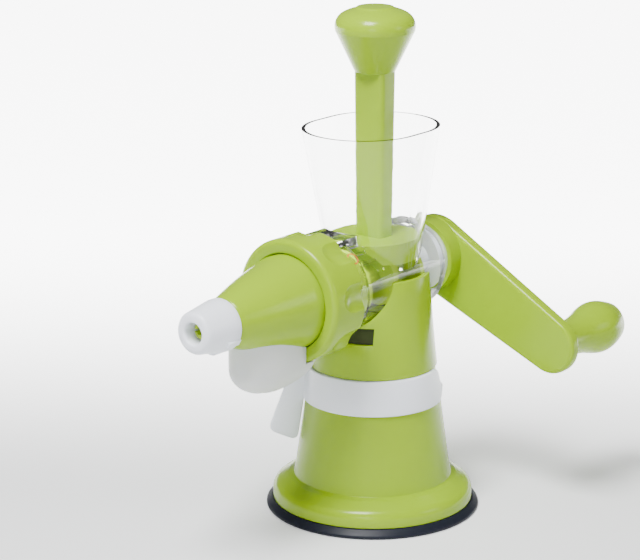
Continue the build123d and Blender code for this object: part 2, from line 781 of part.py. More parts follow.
# ---- nozzle cap and the pressure sleeve that it pushes ----
cap_face_x = nozzle_end_x + cap_face_t
with BuildPart() as nozzle_cap:
    with BuildSketch(Plane.XZ) as cap_sketch:
        with BuildLine():
            Polyline(
                (cap_back_x, axis_z + cap_bore_r),
                (cap_back_x, axis_z + cap_back_r),
                (cap_back_x - 10, axis_z + cap_back_r - 0.8),
                (nozzle_end_x, axis_z + cap_front_r),
                (nozzle_end_x, axis_z + outlet_r),
                (cap_face_x, axis_z + outlet_r),
                (cap_face_x, axis_z + cap_bore_r),
                close=True,
            )
        make_face()
        for corner_r, round_r in ((cap_front_r, 3.0), (outlet_r, 1.0)):
            nearest = cap_sketch.vertices().sort_by_distance((nozzle_end_x, axis_z + corner_r, 0))[0]
            fillet(nearest, round_r)
    revolve(axis=AUGER_AXIS)
    for angle in (210, 270, 330):
        with BuildSketch(axis_plane(angle)):
            with Locations((cap_back_x - 5, cap_back_r + 0.2)):
                Rectangle(9, 1.6)
        extrude(amount=1.6, both=True)
finish(nozzle_cap, "nozzle_cap")

with BuildPart() as pressure_sleeve:
    sleeve_front_x = cap_face_x + running_gap
    tube_x(sleeve_front_x, sleeve_front_x + sleeve_l, sleeve_r, outlet_r)
finish(pressure_sleeve, "pressure_sleeve")

# ---- auger: feed screw, pressing nose and outlet tip ----
with BuildPart() as auger:
    auger_outline = [
        (auger_back_x, 0),
        (auger_back_x, auger_core_r),
        (drum_front_x, auger_core_r),
        (nose_root_x, nose_root_r),
        (nose_tip_x, nose_tip_r),
        (nose_tip_x - 2, auger_tip_r),
        (auger_tip_x + 1.5, auger_tip_r),
        (auger_tip_x, auger_tip_r - 1.5),
        (auger_tip_x, 0),
    ]
    turn_x(auger_outline)
    flight_start_x = auger_back_x - 3
    flight_h = auger_r - auger_core_r + 1
    with BuildLine() as feed_path:
        Helix(
            auger_pitch,
            flight_start_x - nose_root_x,
            auger_r - flight_h / 2,
            center=(flight_start_x, 0, axis_z),
            direction=(-1, 0, 0),
        )
    feed_start = feed_path.line @ 0
    feed_out = (feed_start - Vector(flight_start_x, 0, axis_z)).normalized()
    with BuildSketch(Plane(origin=feed_start, x_dir=feed_out, z_dir=feed_path.line % 0)):
        Rectangle(flight_h, flight_t)
    sweep(path=feed_path.line, is_frenet=True)
    nose_half_angle = math.degrees(math.atan((nose_root_r - nose_tip_r) / (nose_root_x - nose_tip_x)))
    with BuildLine() as nose_path:
        Helix(
            auger_pitch / 2,
            (nose_root_x - nose_tip_x) - 4,
            nose_root_r + nose_ridge_h / 2 - 0.8,
            center=(nose_root_x - 1, 0, axis_z),
            direction=(-1, 0, 0),
            cone_angle=-nose_half_angle,
        )
    nose_start = nose_path.line @ 0
    nose_out = (nose_start - Vector(nose_root_x - 1, 0, axis_z)).normalized()
    with BuildSketch(Plane(origin=nose_start, x_dir=nose_out, z_dir=nose_path.line % 0)):
        Rectangle(nose_ridge_h, 1.6)
    sweep(path=nose_path.line, is_frenet=True)
    tube_x(shaft_front_x - 0.5, auger_back_x + 1, shaft_r + running_gap, mode=Mode.SUBTRACT)
    for i in range(4):
        with BuildSketch(axis_plane(90 * i + 20)):
            with Locations((auger_tip_x - 1, auger_tip_r - 1.4)):
                Rectangle(16, 4, align=(Align.MIN, Align.MIN))
        extrude(amount=1.0, both=True, mode=Mode.SUBTRACT)
finish(auger, "auger")

# ---- drive shaft with a square end ----
with BuildPart() as drive_shaft:
    tube_x(shaft_front_x, shaft_square_x, shaft_r)
    with BuildSketch(Plane.YZ.offset(shaft_square_x)):
        with Locations((0, axis_z)):
            Rectangle(shaft_square, shaft_square)
    extrude(amount=shaft_end_x - shaft_square_x)
    tube_x(shaft_end_x - 11, shaft_end_x + 1, 2.5, mode=Mode.SUBTRACT)
finish(drive_shaft, "drive_shaft")

# ---- crank arm: tapered arm with a hub boss ----
washer_x = shaft_end_x + 0.2
with BuildPart() as crank_arm:
    with BuildSketch(Plane.YZ.offset(arm_front_x)):
        with Locations((0, axis_z)):
            Circle(hub_r)
        with Locations((arm_end_y, arm_end_z)):
            Circle(arm_end_r)
        make_hull()
    extrude(amount=arm_back_x - arm_front_x)
    front_edges = crank_arm.faces().sort_by(Axis.X)[0].edges()
    back_edges = crank_arm.faces().sort_by(Axis.X)[-1].edges()
    fillet(front_edges + back_edges, arm_round)
    tube_x(hub_front_x, arm_back_x - arm_round, hub_r - 0.6)
    with BuildSketch(Plane.YZ.offset(hub_front_x - 1)):
        with Locations((0, axis_z)):
            Rectangle(shaft_square + 0.1, shaft_square + 0.1)
    extrude(amount=washer_x - hub_front_x + 1, mode=Mode.SUBTRACT)
    tube_x(hub_front_x - 1, shaft_square_x + 0.3, shaft_r + 0.3, mode=Mode.SUBTRACT)
    tube_x(washer_x, arm_back_x + 1, 9.0, mode=Mode.SUBTRACT)
    with BuildSketch(Plane.YZ.offset(arm_front_x + 2)):
        with Locations((arm_end_y, arm_end_z)):
            Circle(spindle_r + 0.02)
    extrude(amount=20, mode=Mode.SUBTRACT)
finish(crank_arm, "crank_arm")

with BuildPart() as crank_washer:
    tube_x(washer_x, washer_x + 1.2, 8.5, 2.7)
finish(crank_washer, "crank_washer")

with BuildPart() as crank_screw:
    tube_x(washer_x + 1.2, washer_x + 4.0, 5.0)
    tube_x(shaft_end_x - 10, washer_x + 1.2, 2.45)
    with BuildSketch(Plane.YZ.offset(washer_x + 2.2)):
        with Locations((0, axis_z)):
            Rectangle(6.4, 1.2)
            Rectangle(1.2, 6.4)
    extrude(amount=4, mode=Mode.SUBTRACT)
finish(crank_screw, "crank_screw")

# ---- grip, its spindle and end cap, on the spindle axis at the arm's end ----
GRIP_AXIS = Axis((0, arm_end_y, arm_end_z), (1, 0, 0))
GRIP_PLANE = Plane(origin=(0, arm_end_y, arm_end_z), x_dir=(1, 0, 0), z_dir=(0, -1, 0))


def turn_grip(outline, mode=Mode.ADD):
    """Revolve a closed outline of (x, radius) points about the spindle axis."""
    with BuildSketch(GRIP_PLANE) as profile:
        with BuildLine():
            Polyline(*outline, close=True)
        make_face()
    revolve(profile.sketch, axis=GRIP_AXIS, mode=mode)


spindle_start_x = arm_front_x + 2.05
spindle_end_x = grip_end_x - 6
head_end_x = spindle_end_x + spindle_head_t
with BuildPart() as grip_spindle:
    spindle_outline = [
        (spindle_start_x, 0),
        (spindle_start_x, spindle_r),
        (spindle_end_x, spindle_r),
        (spindle_end_x, spindle_head_r),
        (head_end_x, spindle_head_r),
        (head_end_x, 0),
    ]
    turn_grip(spindle_outline)
finish(grip_spindle, "grip_spindle")

with BuildPart() as grip:
    with BuildSketch(GRIP_PLANE):
        with BuildLine():
            grip_l = grip_end_x - grip_front_x
            side = Spline(
                (grip_front_x, 11.8),
                (grip_front_x + 0.2 * grip_l, 10.9),
                (grip_front_x + 0.45 * grip_l, 12.6),
                (grip_front_x + 0.72 * grip_l, grip_bulb_r),
                (grip_front_x + 0.92 * grip_l, 0.84 * grip_bulb_r),
                (grip_end_x, 8.6),
                tangents=((1, -0.15), (0.15, -1)),
            )
            Polyline(side @ 1, (grip_end_x, 0), (grip_front_x, 0), side @ 0)
        make_face()
    revolve(axis=GRIP_AXIS)
    bore_r = spindle_r + 0.1
    turn_grip([(0, 0), (0, bore_r), (spindle_end_x, bore_r), (spindle_end_x, 0)], Mode.SUBTRACT)
    pocket_x = spindle_end_x - 0.15
    turn_grip([(pocket_x, 0), (pocket_x, 7.0), (grip_end_x + 2, 7.0), (grip_end_x + 2, 0)], Mode.SUBTRACT)
finish(grip, "grip")

with BuildPart() as grip_end_cap:
    cap_in_x = head_end_x + 0.4
    turn_grip([(cap_in_x, 0), (cap_in_x, 6.95), (grip_end_x - 0.6, 6.95), (grip_end_x - 0.6, 0)])
finish(grip_end_cap, "grip_end_cap")

# ---- release latch in the stand window, with its spring ----
with BuildPart() as release_latch:
    latch_low = window_low_z + 0.5
    latch_high = window_high_z - 0.5
    latch_outer = [
        (stand_r(latch_low) - latch_recess - latch_t, latch_low),
        (stand_r(latch_low) - latch_recess, latch_low),
        (stand_r(latch_high) - latch_recess, latch_high),
        (stand_r(latch_high) - latch_recess - latch_t, latch_high),
    ]
    turn_z(latch_outer)
    half_w = window_half_w - 0.5
    box_between((-foot_r, -half_w, latch_low - 1), (-5, half_w, latch_high + 1), Mode.INTERSECT)
    tube_x(-60, 0, saddle_r + 0.3, mode=Mode.SUBTRACT)
    stem_start_x = -stand_r(latch_z) + latch_recess + 1
    with BuildSketch(Plane.YZ.offset(stem_start_x)):
        with Locations((0, latch_z)):
            Circle(latch_stem_r)
    extrude(amount=-foot_half_x - 1 - stem_start_x)
finish(release_latch, "release_latch")

with BuildPart() as latch_spring:
    with BuildLine() as coil:
        Helix(
            spring_l / spring_turns,
            spring_l,
            spring_r - spring_wire_r,
            center=(-foot_half_x - 0.4, 0, latch_z),
            direction=(1, 0, 0),
        )
    coil_start = coil.line @ 0
    coil_out = (coil_start - Vector(-foot_half_x - 0.4, 0, latch_z)).normalized()
    with BuildSketch(Plane(origin=coil_start, x_dir=coil_out, z_dir=coil.line % 0)):
        Circle(spring_wire_r)
    sweep(path=coil.line, is_frenet=True)
finish(latch_spring, "latch_spring")

# ---- food pusher: arched foot, stem and flared head ----
with BuildPart() as pusher_stem:
    foot_top_z = push_foot_low_z + push_foot_h
    foot_inset = hopper_wall + loose_gap
    loft([hopper_face(push_foot_low_z, foot_inset), hopper_face(foot_top_z, foot_inset)], ruled=True)
    tube_x(-hopper_rim_a - 15, hopper_rim_a + 15, auger_r + 1.4, mode=Mode.SUBTRACT)
    with BuildSketch(Plane.XY.offset(foot_top_z - 2)):
        RectangleRounded(stem_x * stem_draft, stem_y * stem_draft, stem_round)
    with BuildSketch(Plane.XY.offset(stem_top_z + 1)):
        RectangleRounded(stem_x, stem_y, stem_round)
    loft(ruled=True)
    flare = [
        (0, stem_top_z - 2),
        (flare_low_r - 1.0, stem_top_z - 2),
        (flare_low_r, stem_top_z),
        (flare_top_r, flare_top_z),
        (0, flare_top_z),
    ]
    turn_z(flare)
    with BuildSketch(Plane.XY.offset(foot_top_z + 6)):
        RectangleRounded(stem_x * stem_draft - 2 * stem_wall, stem_y * stem_draft - 2 * stem_wall, 1.0)
    extrude(amount=stem_top_z - foot_top_z - 4, mode=Mode.SUBTRACT)
    flare_void = [
        (0, stem_top_z),
        (flare_low_r - 5.0, stem_top_z),
        (flare_top_r - stem_wall, flare_top_z),
        (0, flare_top_z),
    ]
    turn_z(flare_void, Mode.SUBTRACT)
finish(pusher_stem, "pusher_stem")

with BuildPart() as pusher_cap:
    with BuildSketch(Plane.XZ):
        with BuildLine():
            dome = Spline(
                (flare_top_r, flare_top_z),
                (flare_top_r + 0.3, flare_top_z + 3.6),
                (0.86 * flare_top_r, pusher_top_z - 4.6),
                (0.5 * flare_top_r, pusher_top_z - 1.1),
                (0, pusher_top_z),
                tangents=((0.25, 1), (-1, 0)),
            )
            Polyline(dome @ 1, (0, flare_top_z), dome @ 0)
        make_face()
    revolve(axis=Axis.Z)
    spigot_r = flare_top_r - stem_wall - 1.8
    spigot_z = flare_top_z - 1.4
    spigot_top_z = flare_top_z + 1
    spigot = [
        (spigot_r - 2, spigot_z),
        (spigot_r, spigot_z),
        (spigot_r, spigot_top_z),
        (spigot_r - 2, spigot_top_z),
    ]
    turn_z(spigot)
finish(pusher_cap, "pusher_cap")
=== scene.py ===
"""Looks of a hand-cranked auger juicer, built round its fixed CAD frame. Metres, +Z up."""
import json
import logging
import math
from collections.abc import Sequence
from dataclasses import dataclass
from enum import Enum

import bpy
from mathutils import Matrix, Vector


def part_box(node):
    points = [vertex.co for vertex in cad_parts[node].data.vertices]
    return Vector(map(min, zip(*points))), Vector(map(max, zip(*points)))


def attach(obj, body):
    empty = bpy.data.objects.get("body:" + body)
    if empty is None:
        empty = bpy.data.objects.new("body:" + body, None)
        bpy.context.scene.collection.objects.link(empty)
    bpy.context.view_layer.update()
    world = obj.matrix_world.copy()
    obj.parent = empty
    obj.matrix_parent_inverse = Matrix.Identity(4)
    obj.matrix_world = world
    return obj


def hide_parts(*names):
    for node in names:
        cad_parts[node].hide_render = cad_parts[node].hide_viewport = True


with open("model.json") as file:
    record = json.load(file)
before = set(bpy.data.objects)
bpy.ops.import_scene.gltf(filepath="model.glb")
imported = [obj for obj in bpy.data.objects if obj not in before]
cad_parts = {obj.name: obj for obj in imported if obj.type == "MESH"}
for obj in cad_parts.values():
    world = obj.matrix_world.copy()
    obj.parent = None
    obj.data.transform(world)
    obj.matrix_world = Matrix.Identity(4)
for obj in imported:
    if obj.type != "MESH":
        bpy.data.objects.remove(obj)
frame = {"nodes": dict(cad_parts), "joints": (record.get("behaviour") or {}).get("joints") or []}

log = logging.getLogger("juicer")
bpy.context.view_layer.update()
MM = 0.001
FULL_TURN = 2 * math.pi
Outline = Sequence[tuple[float, ...]]


class Line(Enum):
    """The two axes that pieces are turned about."""

    AUGER = "x"
    STAND = "z"


# ---------------------------------------------------------------- modelling helpers


def deselect() -> None:
    """Leave edit mode and select nothing."""
    if bpy.context.object and bpy.context.object.mode != "OBJECT":
        bpy.ops.object.mode_set(mode="OBJECT")
    bpy.ops.object.select_all(action="DESELECT")


def pick(piece: bpy.types.Object) -> None:
    """Make one piece the only selected and the active one."""
    deselect()
    piece.select_set(True)
    bpy.context.view_layer.objects.active = piece


def rounded(outline: Outline, steps: int = 6) -> list[tuple[float, float]]:
    """Round the corners of a closed outline with arcs.

    Args:
        outline: corners as (u, v) or (u, v, radius).
        steps: divisions of each arc.

    Returns:
        The outline's points, with each rounded corner as an arc.
    """
    result: list[tuple[float, float]] = []
    count = len(outline)
    for i, corner in enumerate(outline):
        radius = corner[2] if len(corner) > 2 else 0.0
        here = Vector(corner[:2])
        if radius <= 0:
            result.append((here.x, here.y))
            continue
        back = Vector(outline[i - 1][:2]) - here
        ahead = Vector(outline[(i + 1) % count][:2]) - here
        half = back.angle(ahead) / 2
        if half > math.radians(88):
            result.append((here.x, here.y))
            continue
        cut = min(radius / math.tan(half), 0.48 * back.length, 0.48 * ahead.length)
        centre = here + (back.normalized() + ahead.normalized()).normalized() * cut / math.cos(half)
        first = here + back.normalized() * cut - centre
        last = here + ahead.normalized() * cut - centre
        start = math.atan2(first.y, first.x)
        sweep = math.atan2(last.y, last.x) - start
        sweep = (sweep + math.pi) % FULL_TURN - math.pi
        for k in range(steps + 1):
            a = start + sweep * k / steps
            result.append((centre.x + first.length * math.cos(a), centre.y + first.length * math.sin(a)))
    return result


def flowing(points: Outline, per_span: int = 6) -> list[tuple[float, float]]:
    """Points on a smooth open curve that passes through each given point.

    Args:
        points: stations as (u, v).
        per_span: divisions of each span.

    Returns:
        The points of a Catmull-Rom curve.
    """
    result: list[tuple[float, float]] = []
    for i in range(len(points) - 1):
        p1, p2 = Vector(points[i]), Vector(points[i + 1])
        p0 = Vector(points[i - 1]) if i else p1 * 2 - p2
        p3 = Vector(points[i + 2]) if i + 2 < len(points) else p2 * 2 - p1
        for k in range(per_span):
            t = k / per_span
            square = p0 * 2 - p1 * 5 + p2 * 4 - p3
            cube = p1 * 3 - p0 - p2 * 3 + p3
            q = p1 * 2 + (p2 - p0) * t + square * t * t + cube * t**3
            result.append((q.x / 2, q.y / 2))
    result.append((points[-1][0], points[-1][1]))
    return result


def turned(
    name: str, outline: Outline, line: Line, centre: Vector = Vector((0, 0, 0)), steps: int = 128
) -> bpy.types.Object:
    """Turn a closed outline into a solid, as on a lathe.

    Args:
        name: name of the piece.
        outline: points as (station along the axis, radius).
        line: the axis direction.
        centre: a point on the axis.
        steps: faces round the turn.

    Returns:
        The piece, with its place in its mesh.
    """
    along, out = Vector((0, 0, 1)), Vector((1, 0, 0))
    origin = Vector((centre.x, centre.y, 0))
    if line is Line.AUGER:
        along, out = out, along
        origin = Vector((0, centre.y, centre.z))
    places = [origin + along * u + out * max(v, 0.0) for u, v in outline]
    deselect()
    bpy.ops.mesh.primitive_plane_add(size=MM, location=places[0])
    piece = bpy.context.object
    piece.name = piece.data.name = name
    bpy.ops.object.transform_apply(location=True)
    bpy.ops.object.mode_set(mode="EDIT")
    bpy.ops.mesh.select_all(action="SELECT")
    bpy.ops.mesh.merge(type="CENTER")
    for here, ahead in zip(places, places[1:] + places[:1]):
        bpy.ops.mesh.extrude_region_move(TRANSFORM_OT_translate={"value": ahead - here})
    bpy.ops.mesh.select_all(action="SELECT")
    bpy.ops.mesh.remove_doubles(threshold=1e-7)
    bpy.ops.mesh.spin(steps=steps, angle=FULL_TURN, center=origin, axis=along)
    bpy.ops.mesh.select_all(action="SELECT")
    bpy.ops.mesh.remove_doubles(threshold=2e-6)
    bpy.ops.mesh.normals_make_consistent(inside=False)
    bpy.ops.object.mode_set(mode="OBJECT")
    return piece


def swept(name: str, outline: Outline, start: float, sweep: float, steps: int) -> bpy.types.Object:
    """Turn a closed outline through part of a circle about the stand axis, and close both ends.

    Args:
        name: name of the piece.
        outline: points as (height, radius).
        start: first angle from +X, in radians.
        sweep: angle swept, in radians.
        steps: faces along the sweep.

    Returns:
        The piece, with its place in its mesh.
    """
    section = extruded(name, [(v, u) for u, v in outline], 0.0)
    pick(section)
    bpy.ops.object.mode_set(mode="EDIT")
    bpy.ops.mesh.select_all(action="SELECT")
    bpy.ops.mesh.spin(steps=steps, angle=-sweep, center=(0, 0, 0), axis=(0, 0, 1))
    bpy.ops.mesh.select_all(action="SELECT")
    bpy.ops.mesh.remove_doubles(threshold=1e-7)
    bpy.ops.mesh.select_all(action="DESELECT")
    bpy.ops.mesh.select_non_manifold()
    bpy.ops.mesh.edge_face_add()
    bpy.ops.mesh.select_all(action="SELECT")
    bpy.ops.mesh.normals_make_consistent(inside=False)
    bpy.ops.object.mode_set(mode="OBJECT")
    section.data.transform(Matrix.Rotation(start, 4, "Z"))
    return section


def extruded(name: str, outline: Outline, depth: float) -> bpy.types.Object:
    """Draw a closed outline in the XZ plane and pull it to both sides along Y.

    Args:
        name: name of the piece.
        outline: points as (x, z).
        depth: whole thickness; at zero only the flat face is left.

    Returns:
        The piece, with its place in its mesh.
    """
    places = [Vector((u, -depth / 2, v)) for u, v in outline]
    deselect()
    bpy.ops.mesh.primitive_plane_add(size=MM, location=places[0])
    piece = bpy.context.object
    piece.name = piece.data.name = name
    bpy.ops.object.transform_apply(location=True)
    bpy.ops.object.mode_set(mode="EDIT")
    bpy.ops.mesh.select_all(action="SELECT")
    bpy.ops.mesh.merge(type="CENTER")
    for here, ahead in zip(places, places[1:] + places[:1]):
        bpy.ops.mesh.extrude_region_move(TRANSFORM_OT_translate={"value": ahead - here})
    bpy.ops.mesh.select_all(action="SELECT")
    bpy.ops.mesh.remove_doubles(threshold=1e-7)
    if depth:
        bpy.ops.mesh.edge_face_add()
        bpy.ops.mesh.extrude_region_move(TRANSFORM_OT_translate={"value": (0, depth, 0)})
        bpy.ops.mesh.select_all(action="SELECT")
        bpy.ops.mesh.normals_make_consistent(inside=False)
    bpy.ops.object.mode_set(mode="OBJECT")
    return piece


def block(name: str, low: Vector, high: Vector) -> bpy.types.Object:
    """A box between two corners, as a start for a piece or a cutter."""
    deselect()
    bpy.ops.mesh.primitive_cube_add(size=1, location=(low + high) / 2, scale=high - low)
    piece = bpy.context.object
    piece.name = piece.data.name = name
    bpy.ops.object.transform_apply(location=True, scale=True)
    return piece


def combine(piece: bpy.types.Object, tool: bpy.types.Object, operation: str = "DIFFERENCE") -> None:
    """Cut a piece with a tool, or join the two, and remove the tool."""
    pick(piece)
    cut = piece.modifiers.new("cut", "BOOLEAN")
    cut.operation = operation
    cut.object = tool
    cut.solver = "EXACT"
    bpy.ops.object.modifier_apply(modifier=cut.name)
    bpy.data.objects.remove(tool)


def soften(piece: bpy.types.Object, width: float, degrees: float = 35, segments: int = 3) -> None:
    """Round the sharp edges of a piece with a bevel."""
    pick(piece)
    bevel = piece.modifiers.new("soften", "BEVEL")
    bevel.width = width
    bevel.segments = segments
    bevel.limit_method = "ANGLE"
    bevel.angle_limit = math.radians(degrees)
    bevel.miter_outer = "MITER_ARC"
    bpy.ops.object.modifier_apply(modifier=bevel.name)


def shade(piece: bpy.types.Object, degrees: float = 35) -> None:
    """Shade a piece smooth, with edges kept sharp past an angle."""
    pick(piece)
    bpy.ops.object.shade_smooth_by_angle(angle=math.radians(degrees))


def from_frame(node: str, name: str, degrees: float = 30) -> bpy.types.Object:
    """A merged and smoothed copy of a CAD node, as the start of a finer piece.

    Args:
        node: name of the CAD node.
        name: name of the new piece.
        degrees: angle past which edges stay sharp.

    Returns:
        The copy, with its own mesh.
    """
    source = frame["nodes"][node]
    piece = bpy.data.objects.new(name, source.data.copy())
    piece.data.name = name
    piece.data.materials.clear()
    bpy.context.scene.collection.objects.link(piece)
    pick(piece)
    if piece.data.has_custom_normals:
        bpy.ops.mesh.customdata_custom_splitnormals_clear()
    bpy.ops.object.mode_set(mode="EDIT")
    bpy.ops.mesh.select_all(action="SELECT")
    bpy.ops.mesh.remove_doubles(threshold=2e-6)
    bpy.ops.object.mode_set(mode="OBJECT")
    shade(piece, degrees)
    return piece


def place(piece: bpy.types.Object, body: str, slot: str, material: bpy.types.Material, *nodes: str) -> None:
    """Dress a finished piece and tie it to its CAD body.

    Args:
        piece: the finished piece.
        body: CAD body that it rides on.
        slot: the record's material slot; not used.
        material: its finish.
        nodes: CAD nodes that it stands for.
    """
    piece.data.materials.clear()
    piece.data.materials.append(material)
    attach(piece, body)
    if nodes:
        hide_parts(*nodes)
    log.info("%s rides on %s with %d faces", piece.name, body, len(piece.data.polygons))


# ---------------------------------------------------------------- finishes


def link(tree: bpy.types.NodeTree, source: bpy.types.NodeSocket, target: bpy.types.NodeSocket) -> None:
    """Join two sockets of a tree."""
    tree.links.new(source, target)


def noise_node(tree: bpy.types.NodeTree, vector: bpy.types.NodeSocket, detail: float) -> bpy.types.Node:
    """A noise texture that reads the given coordinates."""
    node = tree.nodes.new("ShaderNodeTexNoise")
    node.inputs["Detail"].default_value = detail
    link(tree, vector, node.inputs["Vector"])
    return node


def skin_group() -> bpy.types.NodeTree:
    """The moulded skin shared by every finish: cloudy colour, uneven gloss, scuffs and a fine relief.

    Returns:
        The node group, built once.
    """
    if "moulded_skin" in bpy.data.node_groups:
        return bpy.data.node_groups["moulded_skin"]
    tree = bpy.data.node_groups.new("moulded_skin", "ShaderNodeTree")
    sockets = (
        ("Vector", "NodeSocketVector", None),
        ("Colour", "NodeSocketColor", None),
        ("Shade Colour", "NodeSocketColor", None),
        ("Cloud Scale", "NodeSocketFloat", 30.0),
        ("Roughness", "NodeSocketFloat", 0.3),
        ("Roughness Spread", "NodeSocketFloat", 0.08),
        ("Relief Scale", "NodeSocketFloat", 900.0),
        ("Relief Strength", "NodeSocketFloat", 0.05),
        ("Scuff Amount", "NodeSocketFloat", 0.1),
    )
    for label, kind, value in sockets:
        socket = tree.interface.new_socket(label, in_out="INPUT", socket_type=kind)
        if value is not None:
            socket.default_value = value
    results = (
        ("Colour", "NodeSocketColor"),
        ("Roughness", "NodeSocketFloat"),
        ("Normal", "NodeSocketVector"),
    )
    for label, kind in results:
        tree.interface.new_socket(label, in_out="OUTPUT", socket_type=kind)
    enter = tree.nodes.new("NodeGroupInput")
    leave = tree.nodes.new("NodeGroupOutput")
    cloud = noise_node(tree, enter.outputs["Vector"], 4.0)
    link(tree, enter.outputs["Cloud Scale"], cloud.inputs["Scale"])
    tint = tree.nodes.new("ShaderNodeMix")
    tint.data_type = "RGBA"
    link(tree, cloud.outputs["Fac"], tint.inputs["Factor"])
    link(tree, enter.outputs["Colour"], tint.inputs["A"])
    link(tree, enter.outputs["Shade Colour"], tint.inputs["B"])
    stretch = tree.nodes.new("ShaderNodeMapping")
    stretch.inputs["Scale"].default_value = (1.0, 1.0, 0.12)
    stretch.inputs["Rotation"].default_value = (0.5, 0.9, 0.3)
    link(tree, enter.outputs["Vector"], stretch.inputs["Vector"])
    scuff = noise_node(tree, stretch.outputs["Vector"], 8.0)
    scuff.inputs["Scale"].default_value = 420.0
    scuff_mask = tree.nodes.new("ShaderNodeMapRange")
    scuff_mask.inputs["From Min"].default_value = 0.60
    scuff_mask.inputs["From Max"].default_value = 0.72
    link(tree, scuff.outputs["Fac"], scuff_mask.inputs["Value"])
    scuffed = tree.nodes.new("ShaderNodeMath")
    scuffed.operation = "MULTIPLY"
    link(tree, scuff_mask.outputs["Result"], scuffed.inputs[0])
    link(tree, enter.outputs["Scuff Amount"], scuffed.inputs[1])
    uneven = tree.nodes.new("ShaderNodeMath")
    uneven.operation = "MULTIPLY_ADD"
    link(tree, cloud.outputs["Fac"], uneven.inputs[0])
    link(tree, enter.outputs["Roughness Spread"], uneven.inputs[1])
    link(tree, enter.outputs["Roughness"], uneven.inputs[2])
    gloss = tree.nodes.new("ShaderNodeMath")
    gloss.operation = "ADD"
    gloss.use_clamp = True
    link(tree, uneven.outputs[0], gloss.inputs[0])
    link(tree, scuffed.outputs[0], gloss.inputs[1])
    relief = noise_node(tree, enter.outputs["Vector"], 3.0)
    link(tree, enter.outputs["Relief Scale"], relief.inputs["Scale"])
    bump = tree.nodes.new("ShaderNodeBump")
    bump.inputs["Distance"].default_value = 0.0004
    link(tree, enter.outputs["Relief Strength"], bump.inputs["Strength"])
    link(tree, relief.outputs["Fac"], bump.inputs["Height"])
    link(tree, tint.outputs["Result"], leave.inputs["Colour"])
    link(tree, gloss.outputs[0], leave.inputs["Roughness"])
    link(tree, bump.outputs["Normal"], leave.inputs["Normal"])
    return tree


@dataclass(frozen=True)
class Finish:
    """One finish of the juicer: a skin on a Principled shader with its own fixed values."""

    name: str
    colour: tuple[float, float, float]
    shade_colour: tuple[float, float, float]
    roughness: float = 0.3
    spread: float = 0.08
    cloud_scale: float = 30.0
    relief_scale: float = 900.0
    relief: float = 0.05
    scuffs: float = 0.1
    metallic: float = 0.0
    transmission: float = 0.0
    ior: float = 1.47
    subsurface: float = 0.0
    specular: float = 0.5

    def build(self) -> bpy.types.Material:
        """Make the material.

        Returns:
            The finished material.
        """
        material = bpy.data.materials.new(self.name)
        material.use_nodes = True
        tree = material.node_tree
        shader = tree.nodes["Principled BSDF"]
        where = tree.nodes.new("ShaderNodeTexCoord")
        skin = tree.nodes.new("ShaderNodeGroup")
        skin.node_tree = skin_group()
        link(tree, where.outputs["Object"], skin.inputs["Vector"])
        skin.inputs["Colour"].default_value = (*self.colour, 1)
        skin.inputs["Shade Colour"].default_value = (*self.shade_colour, 1)
        skin.inputs["Cloud Scale"].default_value = self.cloud_scale
        skin.inputs["Roughness"].default_value = self.roughness
        skin.inputs["Roughness Spread"].default_value = self.spread
        skin.inputs["Relief Scale"].default_value = self.relief_scale
        skin.inputs["Relief Strength"].default_value = self.relief
        skin.inputs["Scuff Amount"].default_value = self.scuffs
        link(tree, skin.outputs["Colour"], shader.inputs["Base Color"])
        link(tree, skin.outputs["Roughness"], shader.inputs["Roughness"])
        link(tree, skin.outputs["Normal"], shader.inputs["Normal"])
        shader.inputs["Metallic"].default_value = self.metallic
        shader.inputs["Transmission Weight"].default_value = self.transmission
        shader.inputs["IOR"].default_value = self.ior
        shader.inputs["Specular IOR Level"].default_value = self.specular
        shader.inputs["Subsurface Weight"].default_value = self.subsurface
        shader.inputs["Subsurface Radius"].default_value = (1.0, 1.0, 0.6)
        shader.inputs["Subsurface Scale"].default_value = 2 * MM
        if self.transmission:
            self.let_lamps_through(tree, shader)
        return material

    def let_lamps_through(self, tree: bpy.types.NodeTree, shader: bpy.types.Node) -> None:
        """Let light from the lamps reach what stands behind a clear wall.

        Args:
            tree: the material's tree.
            shader: its Principled node.
        """
        rays = tree.nodes.new("ShaderNodeLightPath")
        clear = tree.nodes.new("ShaderNodeBsdfTransparent")
        clear.inputs["Color"].default_value = (0.94, 0.95, 0.94, 1)
        mix = tree.nodes.new("ShaderNodeMixShader")
        link(tree, rays.outputs["Is Shadow Ray"], mix.inputs[0])
        link(tree, shader.outputs[0], mix.inputs[1])
        link(tree, clear.outputs[0], mix.inputs[2])
        link(tree, mix.outputs[0], tree.nodes["Material Output"].inputs["Surface"])


